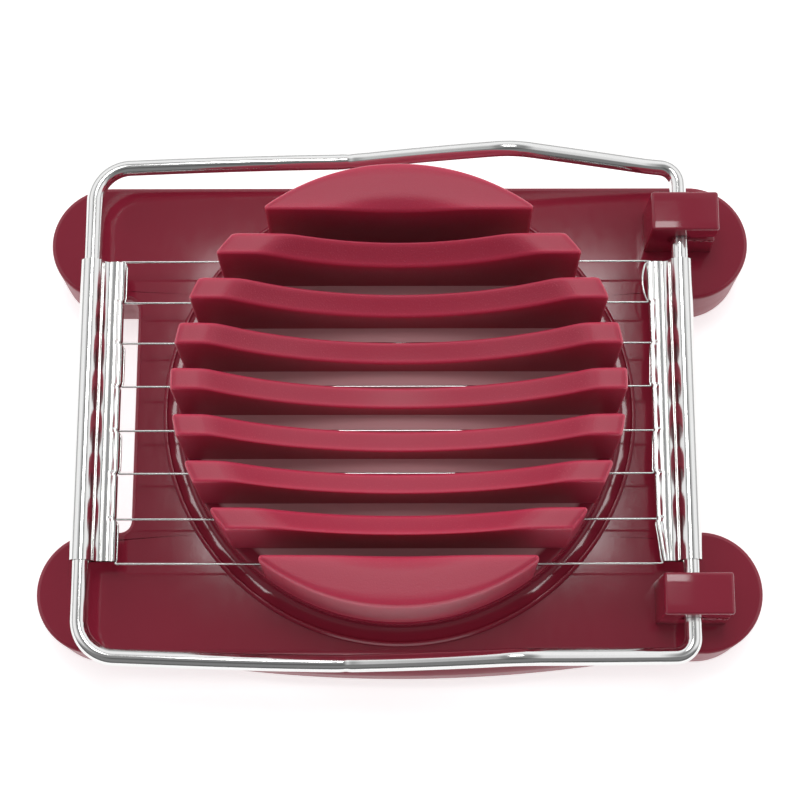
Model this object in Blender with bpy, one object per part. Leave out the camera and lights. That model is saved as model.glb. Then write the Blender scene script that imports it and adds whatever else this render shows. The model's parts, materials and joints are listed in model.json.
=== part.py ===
"""Wire egg slicer, modelled in metres with +Z up.

A moulded base carries a ribbed egg cup.  A bent steel rod forms a frame that
hinges in two snap hooks at the +X end of the base.  A folded steel rail is
clamped round the rod at each end of the frame, and four wire loops, eight
cutting strands in all, are strung between the rails.  The frame is modelled
closed, with the strands lying in the slots of the cup.

The origin is on the table under the middle of the base.  X runs along the
strands towards the hinge, and Y runs along the egg.
"""

import math

import bmesh
import bpy
import numpy as np

MM = 0.001

# Base
BASE_LENGTH = 98.0 * MM       # over the round ends of the feet, along X
BASE_WIDTH = 66.0 * MM        # over the front and rear edges, along Y
BASE_HEIGHT = 10.2 * MM       # table to deck
BAR_WIDTH = 16.5 * MM         # front and rear bars, whose ends are the feet
NOTCH_DEPTH = 12.5 * MM       # finger notch between two feet, along X
NOTCH_RADIUS = 1.6 * MM
SKIRT_WALL = 1.8 * MM
DECK_THICKNESS = 2.0 * MM
DECK_EDGE_RADIUS = 0.6 * MM
BULGE_LENGTH = 62.0 * MM      # swelling of the skirt beside the cup
BULGE_DEPTH = 2.4 * MM
BULGE_HEIGHT = 4.7 * MM       # upright part of the swelling, from the table

# Egg cup
RIB_COUNT = 9
RIB_THICKNESS = 2.9 * MM
END_RIB_DEPTH = 6.65 * MM     # the first and last ribs, to the cup's round side
CUP_RISE = 18.0 * MM          # rim above the deck
CUP_EDGE_RADIUS = 0.9 * MM
CUP_WALL = 1.5 * MM
DISH_END_WALL = 5.7 * MM      # rim of the hollow to the cup's side, along Y
DISH_SIDE_WALL = 4.6 * MM     # the same, along X
DISH_DEPTH = 10.9 * MM
DISH_CURVE_RADIUS = 31.6 * MM
FLANGE_SETBACK = 0.7 * MM     # flange to the front and rear edges of the deck
FLANGE_WIDTH = 2.3 * MM       # flange beyond the foot of the cup
FLANGE_THICKNESS = 0.7 * MM
CUP_DRAFT = 0.4 * MM          # how much wider the cup is at its foot than at its rim
SPIGOT_STEP = 0.4 * MM        # round wall under the deck, beyond the foot of the cup
SPIGOT_DEPTH = 8.0 * MM
LUG_WIDTH = 6.0 * MM
LUG_REACH = 1.1 * MM
LUG_THICKNESS = 0.8 * MM

# Cutting frame
ROD_DIAMETER = 2.3 * MM
ROD_RISE = 5.3 * MM           # rod axis above the deck when the frame is closed
HINGE_SETBACK = 10.4 * MM     # rod axis to the end of the base
FREE_SETBACK = 6.8 * MM
ARM_OUTSET = 0.8 * MM         # arms beyond the front and rear edges of the deck, at their ends
ARM_BOW = 1.1 * MM            # how far the arms bow outwards at mid-length
FREE_BEND_RADIUS = 5.0 * MM
HINGE_BEND_RADIUS = 3.4 * MM
KINK_FROM_HINGE = 45.6 * MM   # the arms run level from the free end to this kink
CREST_FROM_HINGE = 23.1 * MM
CREST_RISE = 6.0 * MM         # crest above the level part
LANDING_FROM_HINGE = 2.6 * MM
ARM_SOFTENING = 5.0 * MM      # length over which each bend in height is spread

# Rails and wires
SHEET_THICKNESS = 0.3 * MM
SHEET_GAP = 0.1 * MM          # sheet to rod, and sheet to wire
RAIL_REACH = 4.35 * MM        # rod axis to the edge of the rail's flange
RAIL_FILLET = 1.15 * MM       # hollow between the roll and the flange
RAIL_RECESS = 0.35 * MM       # flange edge set back between two wire loops
RAIL_TAPER = 1.0 * MM         # corner cut off the hinge rail at the front
WIRE_DIAMETER = 0.3 * MM
WIRE_NOTCH_WIDTH = 0.7 * MM
WIRE_NOTCH_DEPTH = 0.9 * MM

# Hinge hooks
HOOK_BACK = 4.15 * MM         # rod axis to the hook's inner face, towards the cup
HOOK_FRONT = 5.0 * MM
HOOK_LENGTH = 5.5 * MM
HOOK_SETBACK = 6.8 * MM       # middle of a hook to the edge of the deck
HOOK_RISE = 9.3 * MM
HOOK_EDGE_RADIUS = 0.4 * MM
HOOK_SEAT_GAP = 0.25 * MM
SLIT_INNER = 0.7 * MM         # mouth of a hook, at the rod
SLIT_OUTER = 1.7 * MM         # mouth of a hook, at its open side

FIT_GAP = 0.3 * MM            # between pieces that rest on each other
OVERCUT = 2.0 * MM            # how far a cutter runs past what it cuts

PLATE_LENGTH = BASE_LENGTH - 2 * NOTCH_DEPTH
HINGE_X = BASE_LENGTH / 2 - HINGE_SETBACK
FREE_X = FREE_SETBACK - BASE_LENGTH / 2
ARM_OFFSET = BASE_WIDTH / 2 + ARM_OUTSET
HOOK_OFFSET = BASE_WIDTH / 2 - HOOK_SETBACK
FLANGE_RADIUS = BASE_WIDTH / 2 - FLANGE_SETBACK
CUP_FOOT_RADIUS = FLANGE_RADIUS - FLANGE_WIDTH
CUP_RIM_RADIUS = CUP_FOOT_RADIUS - CUP_DRAFT
SPIGOT_RADIUS = CUP_FOOT_RADIUS + SPIGOT_STEP
DISH_LENGTH = 2 * (CUP_RIM_RADIUS - DISH_END_WALL)
DISH_WIDTH = 2 * (CUP_RIM_RADIUS - DISH_SIDE_WALL)
RIB_PITCH = 2 * (CUP_RIM_RADIUS - END_RIB_DEPTH + RIB_THICKNESS / 2) / (RIB_COUNT - 1)
ROD_AXIS_Z = BASE_HEIGHT + ROD_RISE
ROLL_MID_RADIUS = ROD_DIAMETER / 2 + SHEET_GAP + SHEET_THICKNESS / 2
LEG_SPACING = SHEET_THICKNESS + WIRE_DIAMETER + 2 * SHEET_GAP
WIRE_Z = ROD_AXIS_Z - ROLL_MID_RADIUS + LEG_SPACING / 2
SLOT_FLOOR_Z = WIRE_Z - WIRE_DIAMETER / 2 - FIT_GAP
RIM_Z = BASE_HEIGHT + CUP_RISE
STRAND_COUNT = RIB_COUNT - 1
STRANDS_PER_LOOP = 2

CRIMSON = (0.40, 0.016, 0.060, 1.0)
CRIMSON_SATIN = (0.44, 0.018, 0.068, 1.0)
STEEL = (0.78, 0.78, 0.77, 1.0)


def clear_scene():
    for old in list(bpy.data.objects):
        bpy.data.objects.remove(old, do_unlink=True)


def make_material(name, colour, roughness, metallic):
    material = bpy.data.materials.new(name)
    material.use_nodes = True
    shader = material.node_tree.nodes["Principled BSDF"]
    shader.inputs["Base Color"].default_value = colour
    shader.inputs["Roughness"].default_value = roughness
    shader.inputs["Metallic"].default_value = metallic
    return material


def add_object(name, data, material=None):
    piece = bpy.data.objects.new(name, data)
    bpy.context.scene.collection.objects.link(piece)
    if material is not None:
        data.materials.append(material)
    return piece


def mesh_from(name, bm):
    bmesh.ops.recalc_face_normals(bm, faces=bm.faces)
    mesh = bpy.data.meshes.new(name)
    bm.to_mesh(mesh)
    bm.free()
    return mesh


def shade_round(mesh):
    mesh.shade_smooth()
    mesh.set_sharp_from_angle(angle=math.radians(35))


def loft(name, rings):
    """Closed solid through rings of equal length, with a flat cap at each end."""
    bm = bmesh.new()
    rows = [[bm.verts.new(point) for point in ring] for ring in rings]
    count = len(rows[0])
    for low, high in zip(rows, rows[1:]):
        for i in range(count):
            j = (i + 1) % count
            bm.faces.new((low[i], low[j], high[j], high[i]))
    bm.faces.new(list(reversed(rows[0])))
    bm.faces.new(rows[-1])
    return mesh_from(name, bm)


def turned(name, profile, segments, stretch_y=1.0):
    """Solid of revolution about Z.  The profile starts and ends on the axis."""
    turn = np.linspace(0.0, 2 * math.pi, segments, endpoint=False)
    bm = bmesh.new()
    foot = bm.verts.new((0.0, 0.0, profile[0][1]))
    top = bm.verts.new((0.0, 0.0, profile[-1][1]))
    rows = []
    for radius, z in profile[1:-1]:
        row = [bm.verts.new((radius * math.cos(a), stretch_y * radius * math.sin(a), z)) for a in turn]
        rows.append(row)
    for i in range(segments):
        j = (i + 1) % segments
        bm.faces.new((foot, rows[0][j], rows[0][i]))
        bm.faces.new((top, rows[-1][i], rows[-1][j]))
        for low, high in zip(rows, rows[1:]):
            bm.faces.new((low[i], low[j], high[j], high[i]))
    return mesh_from(name, bm)


def box(name, low, high, edge_radius=0.0):
    bm = bmesh.new()
    bmesh.ops.create_cube(bm, size=1.0)
    for vert in bm.verts:
        for axis in range(3):
            middle = (low[axis] + high[axis]) / 2
            vert.co[axis] = middle + vert.co[axis] * (high[axis] - low[axis])
    if edge_radius > 0.0:
        bmesh.ops.bevel(bm, geom=list(bm.edges), offset=edge_radius, segments=3, affect="EDGES")
    return mesh_from(name, bm)


def cylinder_y(name, x, z, radius, y_low, y_high, segments=24):
    turn = np.linspace(0.0, 2 * math.pi, segments, endpoint=False)
    ring = [(x + radius * math.cos(a), z + radius * math.sin(a)) for a in turn]
    return loft(name, [[(px, y, pz) for px, pz in ring] for y in (y_low, y_high)])


def cutter(name, mesh):
    tool = add_object(name, mesh)
    tool.hide_render = True
    tool.display_type = "WIRE"
    return tool


def combine(target, mesh, operation):
    tool = cutter(mesh.name, mesh)
    step = target.modifiers.new(mesh.name, "BOOLEAN")
    step.operation = operation
    step.solver = "EXACT"
    step.object = tool


def arc(centre, radius, start, end, steps):
    """Points on an arc, angles in degrees, both ends included."""
    angles = np.radians(np.linspace(start, end, steps + 1))
    return [(centre[0] + radius * math.cos(a), centre[1] + radius * math.sin(a)) for a in angles]


# Base ------------------------------------------------------------------------

def base_quarter(inset, bulge):
    """The +X +Y quarter of the base's plan, from the notch round the foot to the Y axis."""
    plate_x = PLATE_LENGTH / 2
    foot_radius = BAR_WIDTH / 2
    foot_x = BASE_LENGTH / 2 - foot_radius
    foot_y = BASE_WIDTH / 2 - foot_radius
    bar_inner_y = BASE_WIDTH / 2 - BAR_WIDTH
    notch_centre = (plate_x + NOTCH_RADIUS, bar_inner_y - NOTCH_RADIUS)
    points = [(plate_x - inset, 0.0)]
    points += arc(notch_centre, NOTCH_RADIUS + inset, 180, 90, 6)
    points += arc((foot_x, foot_y), foot_radius - inset, -90, 90, 20)
    half = BULGE_LENGTH / 2
    for x in np.linspace(half, 0.0, 13):
        points.append((x, BASE_WIDTH / 2 - inset + bulge * (1 - (x / half) ** 2)))
    return points


def base_ring(inset, bulge, z):
    quarter = base_quarter(inset, bulge)
    plan = list(quarter)
    plan += [(-x, y) for x, y in reversed(quarter[:-1])]
    plan += [(-x, -y) for x, y in quarter[1:]]
    plan += [(x, -y) for x, y in reversed(quarter[1:-1])]
    return [(x, y, z) for x, y in plan]


def base_shell():
    top = BASE_HEIGHT
    shoulder = top - DECK_EDGE_RADIUS
    rings = [base_ring(0.0, BULGE_DEPTH, 0.0), base_ring(0.0, BULGE_DEPTH, BULGE_HEIGHT)]
    for turn in np.radians([0.0, 22.5, 45.0, 67.5, 90.0]):
        inset = DECK_EDGE_RADIUS * (1 - math.cos(turn))
        rings.append(base_ring(inset, 0.0, shoulder + DECK_EDGE_RADIUS * math.sin(turn)))
    return loft("base", rings)


def base_hollow():
    ceiling = BASE_HEIGHT - DECK_THICKNESS
    rings = [base_ring(SKIRT_WALL, BULGE_DEPTH, -OVERCUT),
             base_ring(SKIRT_WALL, BULGE_DEPTH, BULGE_HEIGHT - SKIRT_WALL / 2),
             base_ring(SKIRT_WALL, 0.0, ceiling)]
    return loft("base_hollow", rings)


def make_base(material):
    base = add_object("base", base_shell(), material)
    combine(base, base_hollow(), "DIFFERENCE")
    hole_radius = SPIGOT_RADIUS + FIT_GAP
    hole = turned("deck_hole", [(0.0, BASE_HEIGHT - DECK_THICKNESS - OVERCUT),
                                (hole_radius, BASE_HEIGHT - DECK_THICKNESS - OVERCUT),
                                (hole_radius, BASE_HEIGHT + OVERCUT),
                                (0.0, BASE_HEIGHT + OVERCUT)], 120)
    combine(base, hole, "DIFFERENCE")
    seat_radius = ROD_DIAMETER / 2 + HOOK_SEAT_GAP
    for side, label in ((1, "rear"), (-1, "front")):
        y_low = side * HOOK_OFFSET - HOOK_LENGTH / 2
        y_high = side * HOOK_OFFSET + HOOK_LENGTH / 2
        block = box("hook_" + label,
                    (HINGE_X - HOOK_BACK, y_low, BASE_HEIGHT - DECK_THICKNESS / 2),
                    (HINGE_X + HOOK_FRONT, y_high, BASE_HEIGHT + HOOK_RISE),
                    HOOK_EDGE_RADIUS)
        combine(base, block, "UNION")
        seat = cylinder_y("seat_" + label, HINGE_X, ROD_AXIS_Z, seat_radius,
                          y_low - OVERCUT, y_high + OVERCUT)
        combine(base, seat, "DIFFERENCE")
        mouth = [(HINGE_X, -SLIT_INNER / 2), (HINGE_X + HOOK_FRONT + OVERCUT, -SLIT_OUTER / 2),
                 (HINGE_X + HOOK_FRONT + OVERCUT, SLIT_OUTER / 2), (HINGE_X, SLIT_INNER / 2)]
        slit = loft("slit_" + label, [[(x, y, ROD_AXIS_Z + z) for x, z in mouth]
                                      for y in (y_low - OVERCUT, y_high + OVERCUT)])
        combine(base, slit, "DIFFERENCE")
    shade_round(base.data)
    return base


# Egg cup ---------------------------------------------------------------------

def cup_profile():
    """From the roof of the pocket down inside, round the spigot and up outside to the middle of the rim."""
    pocket_radius = CUP_FOOT_RADIUS - CUP_WALL
    pocket_top = SLOT_FLOOR_Z - CUP_WALL
    flange_low = BASE_HEIGHT + FIT_GAP
    flange_top = flange_low + FLANGE_THICKNESS
    edge = FLANGE_THICKNESS * 0.4
    spigot_low = BASE_HEIGHT - SPIGOT_DEPTH
    profile = [(0.0, pocket_top), (pocket_radius, pocket_top), (pocket_radius, spigot_low),
               (SPIGOT_RADIUS, spigot_low), (SPIGOT_RADIUS, flange_low), (FLANGE_RADIUS, flange_low)]
    profile += arc((FLANGE_RADIUS - edge, flange_top - edge), edge, 0, 90, 3)
    profile += [(CUP_FOOT_RADIUS, flange_top)]
    profile += arc((CUP_RIM_RADIUS - CUP_EDGE_RADIUS, RIM_Z - CUP_EDGE_RADIUS), CUP_EDGE_RADIUS, 0, 90, 5)
    profile += [(0.0, RIM_Z)]
    return profile


def dish_profile():
    """Shallow bowl: an arc of DISH_CURVE_RADIUS whose mouth is DISH_WIDTH across at the rim."""
    rise = np.linspace(0.0, 1.25, 13)
    reach = np.sqrt(DISH_CURVE_RADIUS ** 2 - (DISH_CURVE_RADIUS - DISH_DEPTH * rise) ** 2)
    mouth = math.sqrt(DISH_CURVE_RADIUS ** 2 - (DISH_CURVE_RADIUS - DISH_DEPTH) ** 2)
    radius = reach * (DISH_WIDTH / 2) / mouth
    z = RIM_Z - DISH_DEPTH + DISH_DEPTH * rise
    return [*zip(radius, z), (0.0, z[-1])]


def make_cup(material):
    cup = add_object("egg_cup", turned("egg_cup", cup_profile(), 120), material)
    dish = turned("dish", dish_profile(), 96, stretch_y=DISH_LENGTH / DISH_WIDTH)
    combine(cup, dish, "DIFFERENCE")
    lug_top = BASE_HEIGHT - DECK_THICKNESS - FIT_GAP
    for quarter in range(4):
        lug = box("lug_%d" % quarter,
                  (SPIGOT_RADIUS - CUP_WALL / 2, -LUG_WIDTH / 2, lug_top - LUG_THICKNESS),
                  (SPIGOT_RADIUS + LUG_REACH, LUG_WIDTH / 2, lug_top))
        turn = math.radians(45 + 90 * quarter)
        cos, sin = math.cos(turn), math.sin(turn)
        for vert in lug.vertices:
            x, y = vert.co.x, vert.co.y
            vert.co.x = x * cos - y * sin
            vert.co.y = x * sin + y * cos
        combine(cup, lug, "UNION")
    slot_half = (RIB_PITCH - RIB_THICKNESS) / 2
    reach = CUP_FOOT_RADIUS + OVERCUT
    for number, y in enumerate(strand_places()):
        slot = box("slot_%d" % number, (-reach, y - slot_half, SLOT_FLOOR_Z),
                   (reach, y + slot_half, RIM_Z + OVERCUT))
        combine(cup, slot, "DIFFERENCE")
    shade_round(cup.data)
    return cup


# Cutting frame ---------------------------------------------------------------

def strand_places():
    """Y of each cutting strand, from the rear to the front."""
    return [(0.5 * (STRAND_COUNT - 1) - k) * RIB_PITCH for k in range(STRAND_COUNT)]


def arm_rise(x):
    """Height of an arm above the rod's ends: level, up to the crest, and down to the hinge."""
    knots_x = [FREE_X, HINGE_X - KINK_FROM_HINGE, HINGE_X - CREST_FROM_HINGE,
               HINGE_X - LANDING_FROM_HINGE, HINGE_X]
    knots_z = [0.0, 0.0, CREST_RISE, 0.0, 0.0]
    window = np.linspace(-0.5, 0.5, 11) * ARM_SOFTENING
    return float(np.mean(np.interp(x + window, knots_x, knots_z)))


def arm_y(x):
    """An arm bows outwards by half a sine wave along its length."""
    along = (x - FREE_X) / (HINGE_X - FREE_X)
    return ARM_OFFSET + ARM_BOW * math.sin(math.pi * min(max(along, 0.0), 1.0))


def bow_path():
    """The rod's centre line, seen from above: one arm, the free end, the other arm, the hinge end."""
    free_start = FREE_X + FREE_BEND_RADIUS
    hinge_start = HINGE_X - HINGE_BEND_RADIUS
    rear = [(x, arm_y(x)) for x in np.linspace(hinge_start, free_start, 56)]
    free_corner = arc((free_start, arm_y(free_start) - FREE_BEND_RADIUS), FREE_BEND_RADIUS, 90, 180, 8)
    hinge_corner = arc((hinge_start, arm_y(hinge_start) - HINGE_BEND_RADIUS), HINGE_BEND_RADIUS, 0, 90, 8)
    half = hinge_corner[:-1] + rear + free_corner[1:]
    plan = half + [(x, -y) for x, y in reversed(half)]
    return [(x, y, ROD_AXIS_Z + arm_rise(x)) for x, y in plan]


def tube(name, points, diameter, closed, sides_step, material):
    """Round bar along a path, as a curve with a bevel."""
    curve = bpy.data.curves.new(name, "CURVE")
    curve.dimensions = "3D"
    curve.bevel_depth = diameter / 2
    curve.bevel_resolution = sides_step
    curve.use_fill_caps = not closed
    spline = curve.splines.new("POLY")
    spline.points.add(len(points) - 1)
    for point, place in zip(spline.points, points):
        point.co = (place[0], place[1], place[2], 1.0)
    spline.use_cyclic_u = closed
    spline.use_smooth = True
    return add_object(name, curve, material)


def sheet_outline():
    """Section of a rail, as (reach, height) from the rod's axis: bottom leg, roll, hollow, top leg."""
    leg_low = -ROLL_MID_RADIUS
    leg_high = leg_low + LEG_SPACING
    fillet_z = leg_high + RAIL_FILLET
    fillet_u = math.sqrt((ROLL_MID_RADIUS + RAIL_FILLET) ** 2 - fillet_z ** 2)
    touch = math.degrees(math.atan2(fillet_z, fillet_u))
    middle = [(RAIL_REACH, leg_low), (fillet_u, leg_low)]
    middle += arc((0.0, 0.0), ROLL_MID_RADIUS, -90, touch - 360, 30)
    middle += arc((fillet_u, fillet_z), RAIL_FILLET, touch + 180, 270, 9)[1:]
    middle += [(RAIL_REACH, leg_high)]
    line = np.array(middle)
    step = np.gradient(line, axis=0)
    step /= np.linalg.norm(step, axis=1, keepdims=True)
    side = np.stack([-step[:, 1], step[:, 0]], axis=1) * SHEET_THICKNESS / 2
    return np.vstack([line + side, (line - side)[::-1]])


def make_rail(name, axis_x, direction, taper, material):
    """Folded strip clamped on the rod at axis_x, its flange reaching along direction."""
    ys = strand_places()
    half_length = ys[0] - WIRE_DIAMETER
    outline = sheet_outline()
    if direction < 0:
        outline = outline[::-1]
    rings = [[(axis_x + direction * u, y, ROD_AXIS_Z + w) for u, w in outline]
             for y in (-half_length, half_length)]
    rail = add_object(name, loft(name, rings), material)
    past_edge = RAIL_REACH + OVERCUT
    low_z = ROD_AXIS_Z - ROLL_MID_RADIUS - OVERCUT
    high_z = ROD_AXIS_Z + LEG_SPACING

    def cut(label, y_low, y_high, depth):
        near = axis_x + direction * (RAIL_REACH - depth)
        far = axis_x + direction * past_edge
        block = box(name + "_" + label, (min(near, far), y_low, low_z), (max(near, far), y_high, high_z))
        combine(rail, block, "DIFFERENCE")

    for number, y in enumerate(ys[1:-1], start=1):
        cut("notch_%d" % number, y - WIRE_NOTCH_WIDTH / 2, y + WIRE_NOTCH_WIDTH / 2, WIRE_NOTCH_DEPTH)
    for number in range(1, STRAND_COUNT - 1, STRANDS_PER_LOOP):
        cut("recess_%d" % number, ys[number + 1], ys[number], RAIL_RECESS)
    if taper > 0.0:
        edge = axis_x + direction * RAIL_REACH
        corner = [(edge, ys[-2]), (edge - direction * taper, -half_length - OVERCUT),
                  (axis_x + direction * past_edge, -half_length - OVERCUT),
                  (axis_x + direction * past_edge, ys[-2])]
        wedge = loft(name + "_taper", [[(x, y, z) for x, y in corner] for z in (low_z, high_z)])
        combine(rail, wedge, "DIFFERENCE")
    shade_round(rail.data)
    return rail


def loop_path(held_y, free_y, taper_at_free):
    """One wire: in at the free rail's notch, across, round both flange edges, and back to the notch.

    held_y is the strand whose ends sit in the notches.  free_y is the other strand.
    """
    clear = WIRE_DIAMETER / 2 + SHEET_GAP
    left_edge = FREE_X + RAIL_REACH + clear
    right_edge = HINGE_X - RAIL_REACH - clear
    left_notch = left_edge - clear - WIRE_NOTCH_DEPTH + clear
    right_notch = right_edge + clear + WIRE_NOTCH_DEPTH - clear
    towards = math.copysign(1.0, free_y - held_y)
    spread = WIRE_DIAMETER / 2 + SHEET_GAP / 2
    bend = 2 * WIRE_DIAMETER
    corner_right = right_edge + (taper_at_free if taper_at_free else 0.0)
    path = [(left_notch, held_y - towards * spread), (left_edge, held_y - towards * spread),
            (right_edge, held_y - towards * spread), (right_notch - spread, held_y - towards * spread)]
    turn = np.radians(np.linspace(-60, 60, 5))
    path += [(right_notch - spread + spread * math.cos(a), held_y + towards * spread * math.sin(a))
             for a in turn]
    path += [(right_notch - spread, held_y + towards * spread),
             (right_edge + bend / 2, held_y + towards * spread),
             (right_edge, held_y + towards * (spread + bend / 2))]
    path += [(corner_right, free_y - towards * bend), (corner_right - bend * 0.3, free_y - towards * bend * 0.3),
             (corner_right - bend, free_y), (left_edge + bend, free_y),
             (left_edge + bend * 0.3, free_y - towards * bend * 0.3), (left_edge, free_y - towards * bend),
             (left_edge, held_y + towards * (spread + bend / 2)),
             (left_edge - bend / 2, held_y + towards * spread), (left_notch, held_y + towards * spread)]
    return [(x, y, WIRE_Z) for x, y in path]


def make_frame(steel, wire_steel):
    """The moving pieces, all carried by an empty on the hinge axis."""
    pieces = [tube("frame_bow", bow_path(), ROD_DIAMETER, True, 4, steel),
              make_rail("free_rail", FREE_X, 1, 0.0, steel),
              make_rail("hinge_rail", HINGE_X, -1, RAIL_TAPER, steel)]
    ys = strand_places()
    loops = STRAND_COUNT // STRANDS_PER_LOOP
    for number in range(loops):
        odd, even = ys[2 * number], ys[2 * number + 1]
        last = number == loops - 1
        held, free = (odd, even) if last else (even, odd)
        path = loop_path(held, free, RAIL_TAPER if last else 0.0)
        pieces.append(tube("cutting_wire_%d" % (number + 1), path, WIRE_DIAMETER, False, 2, wire_steel))
    hinge = add_object("frame_hinge_axis", None)
    hinge.location = (HINGE_X, 0.0, ROD_AXIS_Z)
    bpy.context.view_layer.update()
    for piece in pieces:
        piece.parent = hinge
        piece.matrix_parent_inverse = hinge.matrix_world.inverted()


def main():
    clear_scene()
    gloss = make_material("base_crimson_gloss", CRIMSON, 0.16, 0.0)
    satin = make_material("cup_crimson_satin", CRIMSON_SATIN, 0.38, 0.0)
    steel = make_material("bright_steel", STEEL, 0.14, 1.0)
    wire_steel = make_material("wire_steel", STEEL, 0.22, 1.0)
    make_base(gloss)
    make_cup(satin)
    make_frame(steel, wire_steel)


main()
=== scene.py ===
# %% [markdown]
# # A wire egg slicer
# A moulded base carries a ribbed cup, and a hinged steel frame strung with wire swings down through the
# cup's slots. This lesson builds what is seen of it, surface by surface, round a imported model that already
# knows where every piece sits and how the frame turns. Each shape is a formula worked out on whole arrays
# of points, and each finish is a small network of procedural nodes.

import json
import math

import bmesh
import bpy
import numpy as np
from mathutils import Matrix, Vector


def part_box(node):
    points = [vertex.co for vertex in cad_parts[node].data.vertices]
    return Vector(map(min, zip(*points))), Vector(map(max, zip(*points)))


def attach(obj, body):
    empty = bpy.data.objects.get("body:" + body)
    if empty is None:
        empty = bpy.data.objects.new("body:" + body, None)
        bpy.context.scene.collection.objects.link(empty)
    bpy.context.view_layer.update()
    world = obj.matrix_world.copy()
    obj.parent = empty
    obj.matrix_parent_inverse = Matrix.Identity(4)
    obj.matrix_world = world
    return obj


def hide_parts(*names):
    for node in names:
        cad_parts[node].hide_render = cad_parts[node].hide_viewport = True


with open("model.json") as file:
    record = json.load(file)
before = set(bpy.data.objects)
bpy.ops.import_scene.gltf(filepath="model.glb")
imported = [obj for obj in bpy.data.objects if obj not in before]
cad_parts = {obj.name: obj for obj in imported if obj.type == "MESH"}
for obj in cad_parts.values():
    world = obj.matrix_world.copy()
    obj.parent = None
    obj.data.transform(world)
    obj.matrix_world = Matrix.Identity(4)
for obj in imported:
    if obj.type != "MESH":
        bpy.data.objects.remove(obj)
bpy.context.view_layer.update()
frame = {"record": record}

# %% [markdown]
# ## Sizes
# Places are read from the imported model where it holds them: the hinge's axis, the boxes of the base, cup,
# rod and wires. The rest are the maker's own sizes, in metres: radii of edges, thicknesses of sheet, and
# the like.

# %% Places from the imported model
MM = 0.001

_, base_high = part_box("base")
cup_low, cup_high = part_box("egg_cup")
bow_low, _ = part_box("frame_bow")
wire_low, wire_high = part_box("cutting_wire_1")

joint = frame["record"]["behaviour"]["joints"][0]
hinge_x, _, axis_z = joint["pos_m"]
rod_radius = 1.15 * MM
free_x = bow_low.x + rod_radius
rim_z = cup_high.z
wire_z = (wire_low.z + wire_high.z) / 2
wire_radius = (wire_high.z - wire_low.z) / 2
half_length = base_high.x
print("hinge at", round(hinge_x, 4), round(axis_z, 4), "rim at", round(rim_z, 4))

# %% Sizes of the base
deck_z = 10.2 * MM
half_width = 33.0 * MM
bar_width = 16.5 * MM
plate_half = 36.5 * MM
notch_radius = 1.6 * MM
wall = 1.8 * MM
deck_thickness = 2.0 * MM
edge_radius = 0.6 * MM
bulge_half = 31.0 * MM
bulge_depth = base_high.y - half_width
bulge_z = 4.7 * MM

# %% Sizes of the cup
rib_count = 9
rib_pitch = 6.1 * MM
rib_half = 1.45 * MM
cup_radius = 29.6 * MM
floor_z = 14.05 * MM
dish_half_x = 25.0 * MM
dish_half_y = 23.9 * MM
dish_depth = 10.9 * MM
dish_curve = 31.6 * MM
hole_radius = 30.7 * MM
cup_shift = 0.42 * MM
slack = np.array([-0.84, -0.65, -0.32, -0.32, -0.38, -0.18, -0.30, -0.20]) * MM
strand_y = (np.arange(rib_count - 1)[::-1] - (rib_count - 2) / 2) * rib_pitch + slack
print("strands at", np.round(strand_y / MM, 2))

# %% [markdown]
# ## Tools for surfaces
# Every piece here is a lattice of points: rows along one direction of the surface, columns along the other.
# Four neighbouring points make a face. Where a surface closes on itself, its last row or column joins the
# first.

# %% A lattice of points becomes a mesh
def lattice(rows, columns, close_rows=False, close_columns=False, start=0):
    """Faces between neighbours: point (i, j) is i * columns + j, and a closed direction wraps round."""
    i = np.arange(rows if close_rows else rows - 1)[:, None]
    j = np.arange(columns if close_columns else columns - 1)[None, :]
    next_i, next_j = (i + 1) % rows, (j + 1) % columns
    corners = [i * columns + j, i * columns + next_j, next_i * columns + next_j, next_i * columns + j]
    return start + np.stack(corners, axis=-1).reshape(-1, 4)


def make_piece(name, points, faces, finish, body, node, slot, marks=None):
    """Points, (n, 3), and faces, (m, 4), become a smooth piece that rides on a body and stands for a node."""
    mesh = bpy.data.meshes.new(name)
    mesh.from_pydata(points.tolist(), [], faces.tolist())
    for mark, values in (marks or {}).items():
        layer = mesh.attributes.new(mark, "FLOAT", "POINT")
        layer.data.foreach_set("value", np.ascontiguousarray(values, dtype=np.float32))
    work = bmesh.new()
    work.from_mesh(mesh)
    bmesh.ops.remove_doubles(work, verts=work.verts, dist=1e-7)
    bmesh.ops.recalc_face_normals(work, faces=work.faces)
    work.to_mesh(mesh)
    work.free()
    mesh.shade_smooth()
    mesh.materials.append(finish)
    piece = bpy.data.objects.new(name, mesh)
    bpy.context.scene.collection.objects.link(piece)
    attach(piece, body)
    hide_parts(node)
    print(name, len(mesh.vertices), "points,", len(mesh.polygons), "faces")
    return piece


def join_lattices(parts):
    """Several (points, faces) pairs as one, with the later faces numbered on from the earlier points."""
    starts = np.cumsum([0] + [len(points) for points, _ in parts[:-1]])
    points = np.concatenate([points for points, _ in parts])
    faces = np.concatenate([faces + start for (_, faces), start in zip(parts, starts)])
    return points, faces


# %% Rings stacked into a surface
def arc(centre, radius, start, end, count):
    """Points on a circle: centre + radius * (cos a, sin a), with a from start to end in degrees."""
    a = np.radians(np.linspace(start, end, count))
    return np.stack([centre[0] + radius * np.cos(a), centre[1] + radius * np.sin(a)], axis=1)


def turn(profile, count=160):
    """A profile of (radius, height) pairs turned round Z: (r cos a, r sin a, z) for a round the circle."""
    a = np.linspace(0, 2 * np.pi, count, endpoint=False)
    radius, height = profile[:, 0][:, None], profile[:, 1][:, None]
    points = np.stack([radius * np.cos(a), radius * np.sin(a), height + 0 * a], axis=-1)
    return points.reshape(-1, 3), lattice(len(profile), count, close_columns=True)


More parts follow.
